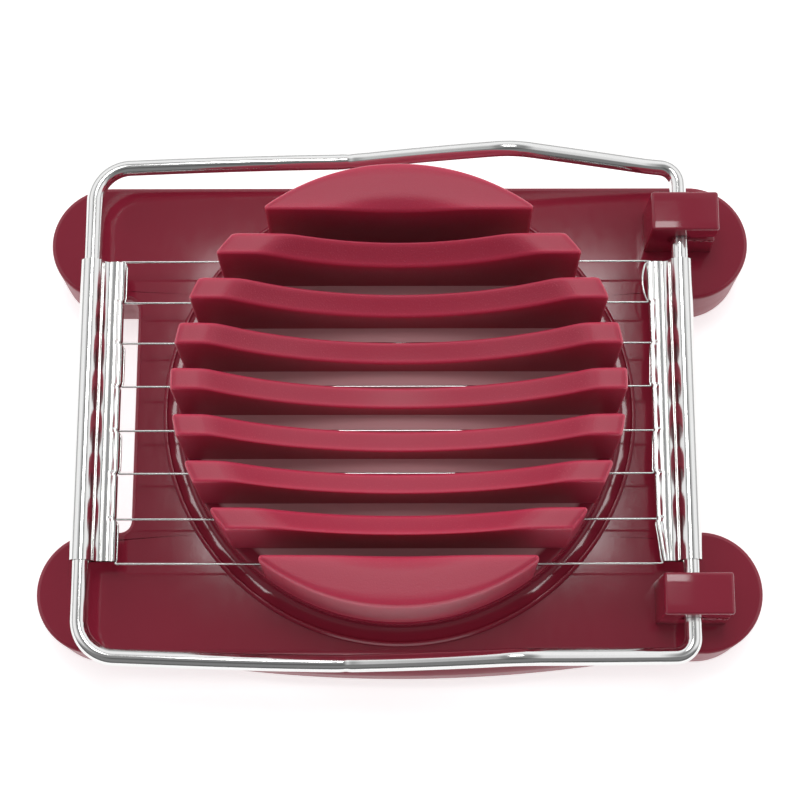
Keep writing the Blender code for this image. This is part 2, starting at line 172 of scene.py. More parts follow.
def carry(path, section, closed=False, swell=None):
    """A section of (side, up) pairs carried along a path.

    At each point the section lies square to the path: side is level, tangent x Z, and up is side x tangent.
    swell scales the section at each point of the path.
    """
    if closed:
        tangent = np.roll(path, -1, axis=0) - np.roll(path, 1, axis=0)
    else:
        tangent = np.gradient(path, axis=0)
    tangent /= np.linalg.norm(tangent, axis=1, keepdims=True)
    side = np.cross(tangent, [0.0, 0.0, 1.0])
    side /= np.linalg.norm(side, axis=1, keepdims=True)
    up = np.cross(side, tangent)
    size = np.ones(len(path)) if swell is None else swell
    points = (path[:, None] + section[None, :, :1] * (side * size[:, None])[:, None]
              + section[None, :, 1:] * (up * size[:, None])[:, None])
    return points.reshape(-1, 3), lattice(len(path), len(section), closed, True)


def round_section(radius, count):
    """A circle: (r cos a, r sin a)."""
    return arc((0, 0), radius, 0, 360 * (count - 1) / count, count)


# %% [markdown]
# ## Shader maths as Python
# A finish is easier to read as an expression than as a page of node links. One small class wraps a socket,
# so that `0.1 + 0.2 * grain` adds its own Math nodes. Any other node comes from one method.

# %% A socket that can be added and multiplied
class Wire:
    """A shader value. Arithmetic on it adds Math nodes to its tree."""

    def __init__(self, finish, socket):
        self.finish = finish
        self.socket = socket

    def maths(self, operation, first, second):
        return self.finish.node("ShaderNodeMath", {"operation": operation}, {0: first, 1: second})

    def __add__(self, other):
        return self.maths("ADD", self, other)

    def __mul__(self, other):
        return self.maths("MULTIPLY", self, other)

    __radd__ = __add__
    __rmul__ = __mul__


class Finish:
    """A material under construction. Fixed values go straight on the shader's own sockets."""

    def __init__(self, name, fixed):
        self.material = bpy.data.materials.new(name)
        self.material.use_nodes = True
        self.tree = self.material.node_tree
        self.shader = self.tree.nodes["Principled BSDF"]
        for socket, value in fixed.items():
            self.shader.inputs[socket].default_value = value

    def node(self, kind, settings=None, inputs=None, output=0):
        """Any node: its type, its settings, and its sockets' values or links."""
        made = self.tree.nodes.new(kind)
        for key, value in (settings or {}).items():
            setattr(made, key, value)
        for key, value in (inputs or {}).items():
            if isinstance(value, Wire):
                self.tree.links.new(value.socket, made.inputs[key])
            else:
                made.inputs[key].default_value = value
        return Wire(self, made.outputs[output])

    def feed(self, socket, value):
        self.tree.links.new(value.socket, self.shader.inputs[socket])

    def place(self, stretch=(1.0, 1.0, 1.0)):
        """Where a point is on the piece, in metres, with each axis stretched or squeezed."""
        where = self.node("ShaderNodeTexCoord", output="Object")
        return self.node("ShaderNodeMapping", None, {"Vector": where, "Scale": stretch})

    def noise(self, per_metre, detail=2.0, stretch=(1.0, 1.0, 1.0), roughness=0.5):
        settings = {"noise_dimensions": "3D"}
        return self.node("ShaderNodeTexNoise", settings, {
            "Vector": self.place(stretch), "Scale": per_metre, "Detail": detail, "Roughness": roughness})

    def mark(self, name):
        """A number painted on the piece's own points."""
        return self.node("ShaderNodeAttribute", {"attribute_name": name}, output="Fac")

    def between(self, factor, first, second):
        """A colour between two others."""
        return self.node("ShaderNodeMix", {"data_type": "RGBA"}, {0: factor, 6: first, 7: second}, output=2)

    def bump(self, height, depth, before=None):
        inputs = {"Height": height, "Distance": depth, "Strength": 1.0}
        if before is not None:
            inputs["Normal"] = before
        return self.node("ShaderNodeBump", None, inputs)


# %% [markdown]
# ## The two crimson plastics
# One plastic, two finishes. The mould for the base is polished, so the deck is a dark mirror with only a
# slow waviness left by the plastic's shrinking. The cup's mould has a fine grain, so the ribs are satin, with
# pale flecks on the slopes of the hollow as painted sparkle. Both let a little light through. The ribs' thin
# edges look brighter through a painted highlight, and the slot floors are pale through a painted reflection.

# %% Crimson plastics
DEEP_CRIMSON = (0.262, 0.017, 0.038, 1.0)
BRIGHT_CRIMSON = (0.37, 0.020, 0.052, 1.0)
# Painted highlight: the ribs' top edges are painted this brighter crimson, fading down the walls as painted
# shade.
PAINTED_EDGE_HIGHLIGHT = (0.60, 0.040, 0.095, 1.0)
# Painted reflection: the pale colour of the slot floors, standing in for the light they reflect.
FLOOR_PAINTED_REFLECTION = (0.62, 0.30, 0.32, 1.0)


def gloss_plastic(name, shine, least, most):
    """Polished crimson: shine is the strength of the reflection, least and most the range of roughness."""
    finish = Finish(name, {
        "IOR": 1.49, "Specular IOR Level": shine, "Subsurface Weight": 0.06, "Subsurface Scale": 1.2 * MM,
        "Subsurface Radius": (1.0, 0.12, 0.1)})
    cloud = finish.noise(45, 3.0)
    colour = finish.between(cloud, DEEP_CRIMSON, (0.30, 0.021, 0.047, 1.0))
    # The drum's slot floors are painted pale: a painted reflection.
    if name == "crimson_drum":
        colour = finish.between(finish.mark("floor"), colour, FLOOR_PAINTED_REFLECTION)
    finish.feed("Base Color", colour)
    scuff = finish.noise(900, 4.0, (1.0, 0.35, 1.0), 0.65)
    roughness = least + (most - least) * scuff
    if name == "crimson_drum":
        roughness = roughness + 0.45 * finish.mark("floor")
    finish.feed("Roughness", roughness)
    slow = finish.bump(finish.noise(55, 1.0), 0.05 * MM)
    finish.feed("Normal", finish.bump(finish.noise(2600, 2.0), 0.0012 * MM, slow))
    return finish.material


def satin_plastic():
    finish = Finish("crimson_satin", {
        "IOR": 1.49, "Subsurface Weight": 0.18, "Subsurface Scale": 1.3 * MM,
        "Subsurface Radius": (1.0, 0.10, 0.12)})
    grain = finish.noise(5200, 2.0, roughness=0.6)
    cloud = finish.noise(90, 3.0)
    body_colour = finish.between(cloud, BRIGHT_CRIMSON, (0.40, 0.024, 0.060, 1.0))
    # This mark sets both the real grain's bump and where the painted sparkle goes.
    sheen_and_grain_mark = finish.mark("grained")
    # Painted sparkle: pale flecks painted on the grain, in place of glints of light.
    painted_glint = finish.node("ShaderNodeMapRange", None, {0: grain, 1: 0.60, 2: 0.80, 3: 0.0, 4: 0.5})
    # Painted highlight along the ribs' edges, and painted shade where it fades down the walls.
    edge_highlighted = finish.between(finish.mark("edge"), body_colour, PAINTED_EDGE_HIGHLIGHT)
    finish.feed("Base Color", finish.between(painted_glint * sheen_and_grain_mark, edge_highlighted, (0.80, 0.20, 0.27, 1.0)))
    finish.feed("Roughness", 0.32 + 0.16 * grain)
    fine = finish.bump(grain * (0.25 + sheen_and_grain_mark), 0.045 * MM)
    finish.feed("Normal", finish.bump(cloud, 0.05 * MM, fine))
    return finish.material


crimson_gloss = gloss_plastic("crimson_gloss", 0.5, 0.05, 0.12)
crimson_skirt = gloss_plastic("crimson_skirt", 0.25, 0.30, 0.42)
crimson_drum = gloss_plastic("crimson_drum", 0.5, 0.07, 0.16)
crimson_satin = satin_plastic()
print("plastics", crimson_gloss.name, crimson_skirt.name, crimson_drum.name, crimson_satin.name)

# %% [markdown]
# ## The steels
# The rod is bright drawn wire: nearly a mirror, with faint lines along its length from the die. The rails
# are rolled from bright strip. The cutting wire is too thin to show its surface, and only needs to catch
# the light.

# %% Steels
def drawn_steel(name, roughness, stretch, depth):
    finish = Finish(name, {"Metallic": 1.0})
    lines = finish.noise(3000, 3.0, stretch, 0.6)
    cloud = finish.noise(150, 3.0)
    pale, shade = (0.80, 0.80, 0.79, 1.0), (0.70, 0.70, 0.69, 1.0)
    finish.feed("Base Color", finish.between(0.6 * cloud + 0.4 * lines, shade, pale))
    finish.feed("Roughness", roughness + 0.10 * lines * cloud)
    finish.feed("Normal", finish.bump(lines, depth))
    return finish.material


rod_steel = drawn_steel("drawn_rod_steel", 0.10, (0.6, 0.6, 0.6), 0.0012 * MM)
strip_steel = drawn_steel("rolled_strip_steel", 0.09, (1.0, 0.05, 1.0), 0.0006 * MM)
wire_steel = drawn_steel("cutting_wire_steel", 0.16, (0.05, 1.0, 1.0), 0.0006 * MM)
print("steels", rod_steel.name, strip_steel.name, wire_steel.name)

# %% [markdown]
# ## The base
# A base like this is one moulding: a flat deck, a skirt all round, and nothing underneath. Its plan is an
# H, two bars with round ends joined by a plate. The whole shell is one surface, the plan's outline carried
# up the inside of the skirt, round its bottom edge, up the outside, over the edge, across the deck to the
# cup's hole, and back along the underside. Beside the cup the skirt swells out low down and slopes back to
# a straight deck edge.

# %% Plan of the base
def plan_quarter(inset, bulge):
    """The +X +Y quarter: plate end, notch arc, foot arc, edge y = half_width + bulge (1 - (x / half)^2)."""
    foot = bar_width / 2
    foot_x, foot_y = half_length - foot, half_width - foot
    notch = (plate_half + notch_radius, half_width - bar_width - notch_radius)
    plate_end = np.stack([np.full(4, plate_half - inset), np.linspace(0, notch[1], 5)[:-1]], axis=1)
    notch_arc = arc(notch, notch_radius + inset, 180, 90, 9)
    foot_arc = arc((foot_x, foot_y), foot - inset, -90, 90, 40)
    x = np.linspace(bulge_half, 0, 25)
    edge = np.stack([x, half_width - inset + bulge * (1 - (x / bulge_half) ** 2)], axis=1)
    return np.concatenate([plate_end, notch_arc, foot_arc, edge])


def full_plan(quarter):
    """A quarter mirrored twice, going once round without repeating the points on the axes."""
    back = quarter[::-1]
    return np.concatenate([quarter, (back * [-1, 1])[1:], (quarter * [-1, -1])[1:], (back * [1, -1])[1:-1]])


def plan_ring(inset, bulge, z):
    plan = full_plan(plan_quarter(inset, bulge * bulge_depth))
    return np.column_stack([plan, np.full(len(plan), z)])


def hole_ring(radius, z):
    """A circle, point for point with the plan, spread so that no line between crosses the notch."""
    quarter = plan_quarter(0, 0)
    ends = [0, 4, 13, 32, 53, len(quarter) - 1]
    a = np.radians(np.interp(np.arange(len(quarter)), ends, [0, 27, 33, 40, 50, 90]))
    plan = full_plan(radius * np.stack([np.cos(a), np.sin(a)], axis=1))
    return np.column_stack([plan, np.full(len(plan), z)])


# %% Shell of the base
def base_shell():
    lip = 0.3 * MM
    ceiling = deck_z - deck_thickness
    shoulder = deck_z - edge_radius
    rings = [plan_ring(wall, 0, ceiling), plan_ring(wall, 1, bulge_z - wall / 2), plan_ring(wall, 1, lip)]
    for inset, z in arc((wall - lip, lip), lip, 0, -90, 4):
        rings.append(plan_ring(inset, 1, z))
    for inset, z in arc((lip, lip), lip, -90, -180, 4):
        rings.append(plan_ring(inset, 1, z))
    rings += [plan_ring(0, 1, bulge_z - 0.4 * MM), plan_ring(0.02 * MM, 1, bulge_z)]
    slope = np.linspace(0, 1, 7)[1:]
    rings += [plan_ring(0, 1 - s, bulge_z + s * (shoulder - bulge_z)) for s in slope]
    for inset, z in arc((edge_radius, shoulder), edge_radius, 180, 90, 9)[1:]:
        rings.append(plan_ring(inset, 0, z))
    rings += [plan_ring(edge_radius + reach, 0, deck_z) for reach in (0.06 * MM, 0.25 * MM, 0.6 * MM)]
    rings += [hole_ring(hole_radius + reach, deck_z) for reach in (0.6 * MM, 0.3 * MM, 0.1 * MM)]
    rings += [hole_ring(hole_radius, deck_z - 0.1 * MM), hole_ring(hole_radius, deck_z - 0.4 * MM),
              hole_ring(hole_radius, ceiling)]
    points = np.concatenate(rings)
    return points, lattice(len(rings), len(rings[0]), True, True)


def dull_the_skirt(piece):
    """Faces that look sideways, below the deck's edge, take the duller second finish."""
    mesh = piece.data
    mesh.materials.append(crimson_skirt)
    normals = np.empty(3 * len(mesh.polygons))
    mesh.polygons.foreach_get("normal", normals)
    sideways = np.abs(normals.reshape(-1, 3)[:, 2]) < 0.85
    mesh.polygons.foreach_set("material_index", sideways.astype(np.int32))


dull_the_skirt(make_piece("base_shell", *base_shell(), crimson_gloss, "base", "base", "base_plastic"))

# %% [markdown]
# ## The hinge hooks
# Two blocks moulded on the deck hold the rod. Each is a C: a round seat with a slit on its outer side,
# which springs open a little to let the rod in. The C is a section carried along the rod's direction, with
# its two ends drawn in over a small radius. A real slit is never clean: the mould closes there, and leaves
# a wavy rag of flash.

# %% Hook section
hook_back, hook_front, hook_rise = 4.15 * MM, 5.0 * MM, 9.3 * MM
hook_length, hook_offset = 5.5 * MM, 26.2 * MM
seat_radius = rod_radius + 0.25 * MM


def hook_section():
    """The C, as (x, z): round the outside from lower lip to upper, in along the slit, round the seat."""
    corner = 0.45 * MM
    left, right = hinge_x - hook_back, hinge_x + hook_front
    low, top = deck_z - 0.5 * MM, deck_z + hook_rise
    upper, lower = axis_z + 0.80 * MM, axis_z - 0.80 * MM
    inner = 0.35 * MM
    start = math.degrees(math.asin(inner / seat_radius))
    outside = [arc((right - 0.25 * MM, lower - 0.25 * MM), 0.25 * MM, 90, 0, 4), [(right + 0.15 * MM, low)],
               [(left - 0.15 * MM, low)], arc((left + corner, top - corner), corner, 180, 90, 6),
               arc((right - corner, top - corner), corner, 90, 0, 6),
               arc((right - 0.25 * MM, upper + 0.25 * MM), 0.25 * MM, 0, -90, 4)]
    seat = arc((hinge_x, axis_z), seat_radius, start, 360 - start, 33)
    return np.concatenate(outside + [seat])


def shrink(section, amount):
    """Each point moved inwards, square to the line between its neighbours."""
    along = np.roll(section, -1, axis=0) - np.roll(section, 1, axis=0)
    along /= np.linalg.norm(along, axis=1, keepdims=True) + 1e-12
    return section + amount * np.stack([along[:, 1], -along[:, 0]], axis=1)


def hook_block(side):
    section = hook_section()
    radius = 0.35 * MM
    rounding = arc((0, 0), radius, 0, 90, 6)
    rows = [(radius - dx, -hook_length / 2 + radius - dz) for dx, dz in rounding[::-1]]
    rows += [(0.0, y) for y in np.linspace(-hook_length / 2 + radius, hook_length / 2 - radius, 6)[1:-1]]
    rows += [(radius - dx, hook_length / 2 - radius + dz) for dx, dz in rounding]
    rings = []
    for inset, y in rows:
        plan = shrink(section, inset)
        spread = 1 + 0.05 * (deck_z + hook_rise - plan[:, 1]) / hook_rise
        rings.append(np.column_stack([plan[:, 0], side * hook_offset + y * spread, plan[:, 1]]))
    points = np.concatenate(rings)
    return points, lattice(len(rings), len(section), False, True)


def cap_ends(piece):
    """Fills the two open ends of a carried section with flat faces."""
    work = bmesh.new()
    work.from_mesh(piece.data)
    bmesh.ops.holes_fill(work, edges=[edge for edge in work.edges if edge.is_boundary], sides=0)
    bmesh.ops.triangulate(work, faces=[face for face in work.faces if len(face.verts) > 4])
    bmesh.ops.recalc_face_normals(work, faces=work.faces)
    work.to_mesh(piece.data)
    work.free()
    piece.data.shade_smooth()
    piece.data.set_sharp_from_angle(angle=math.radians(40))


for label, side in (("rear", 1), ("front", -1)):
    hook = make_piece("hinge_hook_" + label, *hook_block(side), crimson_gloss, "base", "base", "base_plastic")
    cap_ends(hook)

# %% Flash along the slits
def flash_strip(side, lift, phase):
    """A thin wavy blade along a slit's lip: a tube whose height wanders as a sum of sines."""
    x = np.linspace(hinge_x + rod_radius + 0.4 * MM, hinge_x + hook_front - 0.1 * MM, 60)
    wave = np.sin(x * 3100 + phase) + 0.6 * np.sin(x * 7300 + 2 * phase) + 0.4 * np.sin(x * 12900 + phase)
    y = side * hook_offset - hook_length / 2 - 0.02 * MM + 0.10 * MM * np.sin(x * 5200 + phase)
    z = axis_z + lift + 0.12 * MM * wave
    path = np.column_stack([x, y, z])
    swell = 0.7 + 0.3 * np.sin(x * 9100 + phase)
    swell[[0, -1]] = 0.05
    return carry(path, round_section(0.09 * MM, 8), swell=swell)


for label, side, lift, phase in (("rear", 1, -0.75 * MM, 0.4), ("front", -1, -0.75 * MM, 1.9)):
    strip = flash_strip(side, lift, phase)
    make_piece("slit_flash_" + label, *strip, crimson_gloss, "base", "base", "base_plastic")

# %% [markdown]
# ## The cup's drum
# The lower part of the cup is turned: a floor level with the bottoms of the slots, a wall down to the deck,
# and a thin flange with a bead round its edge that covers the gap to the hole. Under the deck it goes on as
# a round wall.

# %% Drum profile
def drum_profile():
    """(radius, height) from the middle of the floor outwards, down, and back under to the middle."""
    flange_z, low_z = deck_z + 0.45 * MM, cup_low.z
    bead = 0.22 * MM
    ceiling = floor_z - 1.5 * MM
    parts = [[(0.0, floor_z), (20 * MM, floor_z), (27.3 * MM, floor_z), (28.0 * MM, floor_z),
              (cup_radius - 0.45 * MM, floor_z)],
             arc((cup_radius - 0.25 * MM, floor_z - 0.3 * MM), 0.3 * MM, 80, 5, 5),
             [(cup_radius + 0.22 * MM, flange_z + 1.2 * MM)],
             arc((cup_radius + 0.85 * MM, flange_z + 0.6 * MM), 0.6 * MM, 185, 268, 8),
             [(31.75 * MM, flange_z + 0.02 * MM)],
             arc((32.05 * MM, flange_z + 0.02 * MM), bead, 165, 20, 9),
             [(32.40 * MM, flange_z - 0.08 * MM), (32.50 * MM, flange_z - 0.22 * MM),
              (32.46 * MM, deck_z + 0.03 * MM), (30.4 * MM, deck_z + 0.03 * MM),
              (30.4 * MM, low_z), (28.5 * MM, low_z), (28.5 * MM, ceiling), (0.0, ceiling)]]
    return np.concatenate(parts)


drum_points, drum_faces = turn(drum_profile(), 240)
# Inside this radius the floor is painted pale as a painted reflection; the same mark also makes it rougher.
painted_reflection_radius = 27.6 * MM
near_middle = np.hypot(drum_points[:, 0], drum_points[:, 1]) < painted_reflection_radius
on_floor = ((drum_points[:, 2] > floor_z - 0.02 * MM) & near_middle).astype(float)
make_piece("cup_drum", drum_points + [0, cup_shift, 0], drum_faces, crimson_drum, "base", "egg_cup",
           "cup_plastic", {"floor": on_floor})

# %% [markdown]
# ## The ribs
# Nine ribs stand on the drum, each a slice of one round block with a bowl scooped out of its top. In plan a
# rib is a strip with the drum's arc at each end and rounded corners; in height its top follows the bowl, or
# the flat rim outside it. So one function gives the top for every rib, and another gives each rib's
# outline.

# %% Height of the cup's top
def soft_min(first, second, blend):
    """The lower of two heights, with the crease between them rounded: (a + b - sqrt((a - b)^2 + k^2)) / 2."""
    return (first + second - np.sqrt((first - second) ** 2 + blend ** 2)) / 2


def cup_top(x, y):
    """Rim height, or the bowl's where that is lower, rolled off towards the outside of the block.

    The bowl is a sphere of radius dish_curve, squeezed so that its mouth is an ellipse.
    """
    mouth = math.sqrt(dish_curve ** 2 - (dish_curve - dish_depth) ** 2)
    reach = np.minimum(np.hypot(x / dish_half_x, y / dish_half_y) * mouth, dish_curve * 0.999)
    bowl = rim_z - dish_depth + dish_curve - np.sqrt(dish_curve ** 2 - reach ** 2)
    top = soft_min(rim_z + 0 * x, bowl, 0.9 * MM)
    roll = 0.9 * MM
    past = np.clip((np.hypot(x, y) - (cup_radius - roll)) / roll, 0, 0.995)
    return top - roll * (1 - np.sqrt(1 - past ** 2)) * 0.8


# %% Outline of a rib
def meeting_circle(y_line, inwards, radius):
    """Centre of the corner circle that touches the line y = y_line and the inside of the block's circle."""
    y = y_line + inwards * radius
    return math.sqrt((cup_radius - radius) ** 2 - y ** 2), y


def rib_half_outline(y_line, inwards, end_y, corner=0.40 * MM):
    """Half a rib's outline, from the middle of its left end along one side to the middle of its right end."""
    x_c, y_c = meeting_circle(y_line, inwards, corner)
    touch = math.degrees(math.atan2(y_c, x_c))
    end = math.degrees(math.asin(end_y / cup_radius))
    right_end = arc((0, 0), cup_radius, touch, end, 5)[1:]
    right_corner = arc((x_c, y_c), corner, -90 * inwards, touch, 8)
    x = x_c * np.sin(np.linspace(-np.pi / 2, np.pi / 2, 71))
    side = np.stack([x, np.full(71, y_line)], axis=1)[1:-1]
    right = np.concatenate([right_corner, right_end])
    return np.concatenate([right[::-1] * [-1, 1], side, right])


# %% One rib as a closed surface
def rib_surface(near, far):
    """Rings up the wall and over the edge, closed at the top by lines across from near side to far side."""
    outline = np.concatenate([near, far[-2:0:-1]])
    count = len(outline)
    along = np.roll(outline, -1, axis=0) - np.roll(outline, 1, axis=0)
    along /= np.linalg.norm(along, axis=1, keepdims=True)
    inward = np.stack([-along[:, 1], along[:, 0]], axis=1)
    radius = 0.38 * MM
    rings, edge, grained = [], [], []
    foot = floor_z - 1.6 * MM
    levels = np.linspace(0, 1, 9)
    full_top = cup_top(*outline.T)
    for level in levels:
        swell = 0.10 * MM * (1 - level) - 0.10 * MM * np.clip((0.12 - level) / 0.12, 0, 1)
        plan = outline - inward * swell
        z = foot + (full_top - radius - foot) * level
        rings.append(np.column_stack([plan, z]))
        # The edge mark is the painted highlight: strongest at the top, fading with depth down the wall as
        # painted shade.
        depth = full_top - z
        edge.append(0.8 * np.exp(-depth / (1.1 * MM)))
        grained.append(np.full(count, 0.1))
    for angle in np.radians(np.linspace(0, 90, 7))[1:]:
        plan = outline + inward * radius * (1 - math.cos(angle))
        z = cup_top(*plan.T) - radius * (1 - math.sin(angle))
        rings.append(np.column_stack([plan, z]))
        # The rounded top edge takes nearly the full painted highlight.
        edge.append(np.full(count, 0.9))
        # Painted sparkle and grain grow over the rounded top edge.
        grained.append(np.full(count, 0.1 + 0.5 * math.sin(angle)))
    points = [np.concatenate(rings)]
    faces = [lattice(len(rings), count, close_columns=True)]
    last = (len(rings) - 1) * count
    half = len(near)
    near_number = last + np.arange(half)
    far_number = last + (count - np.arange(half)) % count
    across = np.linspace(0, 1, 9)[1:-1]
    near_plan, far_plan = rings[-1][np.arange(half), :2], rings[-1][(count - np.arange(half)) % count, :2]
    inner = near_plan[:, None] + (far_plan - near_plan)[:, None] * across[None, :, None]
    inner_top = cup_top(inner[..., 0], inner[..., 1])
    points.append(np.concatenate([inner, inner_top[..., None]], axis=-1).reshape(-1, 3))
    number = len(points[0]) + np.arange(half * len(across)).reshape(half, len(across))
    table = np.column_stack([near_number, number, far_number])
    squares = [table[:-1, :-1], table[:-1, 1:], table[1:, 1:], table[1:, :-1]]
    faces.append(np.stack(squares, -1).reshape(-1, 4))
    middle = np.abs(2 * across - 1)
    # Across the top, the painted highlight is stronger near both edges than in the middle.
    edge.append(np.tile(0.35 + 0.35 * middle ** 3, (half, 1)).ravel())
    # Painted sparkle and grain are strongest on the slopes of the hollow.
    slope = np.clip(np.hypot(inner[..., 0], inner[..., 1]) / dish_half_x, 0, 1) ** 1.5
    inside = np.clip((rim_z - inner_top) / (0.8 * MM), 0, 1)
    grained.append((0.15 + 0.85 * slope * inside).ravel())
    return np.concatenate(points), np.concatenate(faces), np.concatenate(edge), np.concatenate(grained)


def rib(number):
    """Rib number 0 is the rear crescent, and number 8 the front one."""
    centre = ((rib_count - 1) / 2 - number) * rib_pitch
    if 0 < number < rib_count - 1:
        near = rib_half_outline(centre - rib_half, 1, centre)
        far = rib_half_outline(centre + rib_half, -1, centre)
        return rib_surface(near, far)
    side = 1 if centre > 0 else -1
    straight = abs(centre) - rib_half
    tip = 0.5 * MM
    x_c, y_c = meeting_circle(straight, 1, tip)
    touch = math.degrees(math.atan2(y_c, x_c))
    corner = arc((x_c, y_c), tip, -90, touch, 8)
    x = x_c * np.sin(np.linspace(-np.pi / 2, np.pi / 2, 71))
    line = np.stack([x, np.full(71, straight)], axis=1)[1:-1]
    near = np.concatenate([corner[::-1] * [-1, 1], line, corner])
    a = np.radians(np.linspace(180 - touch, touch, len(near)))
    far = cup_radius * np.stack([np.cos(a), np.sin(a)], axis=1)
    if side < 0:
        near, far = far * [1, -1], near * [1, -1]
    return rib_surface(near, far)


ribs = [rib(number) for number in range(rib_count)]
rib_points, rib_faces = join_lattices([(points, faces) for points, faces, _, _ in ribs])
rib_marks = {"edge": np.concatenate([made[2] for made in ribs]),
             "grained": np.concatenate([made[3] for made in ribs])}
make_piece("cup_ribs", rib_points + [0, cup_shift, 0], rib_faces, crimson_satin, "base", "egg_cup",
           "cup_plastic", rib_marks)

# %% [markdown]
# ## The cutting frame
# The frame is one rod, bent flat into a rounded rectangle and then kinked, so that its arms run level from
# the free end, climb over a crest, and drop to the hinge. Its centre line is worked out in plan, then
# lifted by a height that depends only on X. A circle carried along it makes the rod. Where the arms start
# to climb, the bending tool has pinched the rod slightly.

# %% Centre line of the rod
arm_end_y, arm_bow = 33.8 * MM, 1.1 * MM
free_bend, hinge_bend = 5.0 * MM, 2.5 * MM
kink_x, crest_x, landing_x = -7.0 * MM, 15.5 * MM, 36.0 * MM
crest_rise, softening = 6.0 * MM, 5.0 * MM


def arm_rise(x):
    """Straight runs between kink, crest and landing, averaged over a short length to round the bends."""
    window = np.linspace(-0.5, 0.5, 21) * softening
    knots = [free_x, kink_x, crest_x, landing_x, hinge_x]
    return np.interp(x[:, None] + window, knots, [0, 0, crest_rise, 0, 0]).mean(axis=1)


def arm_y(x):
    """Half a sine wave outwards."""
    return arm_end_y + arm_bow * np.sin(np.pi * np.clip((x - free_x) / (hinge_x - free_x), 0, 1))


def bow_line():
    free_start, hinge_start = free_x + free_bend, hinge_x - hinge_bend
    x = np.linspace(hinge_start, free_start, 240)
    arm = np.column_stack([x, arm_y(x)])
    free_corner = arc((free_start, arm_y(free_start) - free_bend), free_bend, 90, 180, 20)[1:]
    hinge_corner = arc((hinge_start, arm_y(hinge_start) - hinge_bend), hinge_bend, 0, 90, 16)[:-1]
    half = np.concatenate([hinge_corner, arm, free_corner])
    plan = np.concatenate([half, half[::-1] * [1, -1]])
    return np.column_stack([plan, axis_z + arm_rise(plan[:, 0])])


rod_path = bow_line()
pinch = 1 - 0.07 * np.exp(-((rod_path[:, 0] - kink_x) / (0.5 * MM)) ** 2)
rod = carry(rod_path, round_section(rod_radius, 32), closed=True, swell=pinch)
make_piece("frame_rod", *rod, rod_steel, "cutting_frame", "frame_bow", "bright_steel")

# %% [markdown]
# ## The rails
# Each rail is a strip of bright steel rolled round the rod, so that both its edges come back together as a
# double flange that grips the wires. Seen from above it is a roll, a valley, a low ridge pressed along the
# flange, and a thin lip nicked where each wire passes. The section is a line with a thickness; only the
# flange's reach changes along the rail, so the nicks are a function of Y.

# %% Section of a rail
sheet = 0.30 * MM
roll_radius = rod_radius + 0.1 * MM + sheet / 2
rail_reach = 4.35 * MM
leg_low = -roll_radius
leg_high = leg_low + sheet + 2 * wire_radius + 0.2 * MM


def rail_line():
    """Middle of the sheet as (reach, height): bottom leg, roll, valley, ridge and lip."""
    fillet = 1.15 * MM
    fillet_z = leg_high + fillet
    fillet_u = math.sqrt((roll_radius + fillet) ** 2 - fillet_z ** 2)
    touch = math.degrees(math.atan2(fillet_z, fillet_u))
    bottom = np.column_stack([np.linspace(rail_reach, 0.2 * MM, 12), np.full(12, leg_low)])
    roll = arc((0, 0), roll_radius, -90, touch - 360, 52)
    valley = arc((fillet_u, fillet_z), fillet, touch + 180, 262, 14)[1:]
    reach = np.linspace(valley[-1, 0], rail_reach, 32)[1:]
    ridge = 0.20 * MM * np.exp(-((reach - 3.10 * MM) / (0.62 * MM)) ** 4)
    top = np.column_stack([reach, leg_high + ridge])
    return np.concatenate([bottom, roll, valley, top])


def thicken(line, thickness):
    """A line becomes a closed outline: itself moved half the thickness to each side."""
    along = np.gradient(line, axis=0)
    along /= np.linalg.norm(along, axis=1, keepdims=True)
    side = np.stack([-along[:, 1], along[:, 0]], axis=1) * thickness / 2
    tip = line[-1] + along[-1] * thickness * 0.4
    tail = line[0] - along[0] * thickness * 0.4
    return np.concatenate([[tail], line + side, [tip], (line - side)[::-1]])


# %% Rails along the rod
def rail_surface(axis_x, direction, taper):
    outline = thicken(rail_line(), sheet)
    y = np.linspace(strand_y[-1] + 2 * wire_radius, strand_y[0] - wire_radius, 330)
    reach = np.full_like(y, rail_reach)
    for place in strand_y[1:-1]:
        reach -= 0.16 * MM * np.exp(-((y - place) / (0.24 * MM)) ** 4)
    for low, high in zip(strand_y[2::2], strand_y[1::2]):
        step = 0.25 * MM
        reach -= 0.07 * MM * (np.tanh((y - low) / step) - np.tanh((y - high) / step))
    reach -= taper * np.clip((strand_y[-2] - y) / rib_pitch, 0, 1)
    start = 2.5 * MM
    u = outline[:, 0][None, :]
    stretched = start + (u - start) * ((reach - start) / (rail_reach - start))[:, None]
    u = np.where(u > start, stretched, u)
    wobble = 0.012 * MM * np.sin(y * 420 + 1)[:, None]
    z = axis_z + outline[:, 1][None, :] + wobble * (u > start)
    points = np.stack([axis_x + direction * u, np.broadcast_to(y[:, None], u.shape), z], axis=-1)
    return points.reshape(-1, 3), lattice(len(y), len(outline), False, True)


for name, axis_x, direction, taper in (("free_rail", free_x, 1, 0.0), ("hinge_rail", hinge_x, -1, 1.0 * MM)):
    surface = rail_surface(axis_x, direction, taper)
    rail = make_piece(name + "_strip", *surface, strip_steel, "cutting_frame", name, "bright_steel")
    cap_ends(rail)

# %% [markdown]
# ## The cutting wires
# Four wires, each looped twice across the frame, make eight strands. A wire turns back in a nick of one
# rail, runs along the lip to the next nick, and crosses again. Each is a thin tube carried along a path of
# short straight runs, with its turns softened by averaging neighbouring points.

# %% Path of one wire
def soften(points, spacing, passes):
    """Points respaced evenly along the path, then averaged with their neighbours a few times."""
    length = np.concatenate([[0], np.cumsum(np.linalg.norm(np.diff(points, axis=0), axis=1))])
    even = np.linspace(0, length[-1], int(length[-1] / spacing) + 1)
    path = np.column_stack([np.interp(even, length, points[:, axis]) for axis in range(3)])
    for _ in range(passes):
        path[1:-1] = (path[:-2] + 2 * path[1:-1] + path[2:]) / 4
    return path


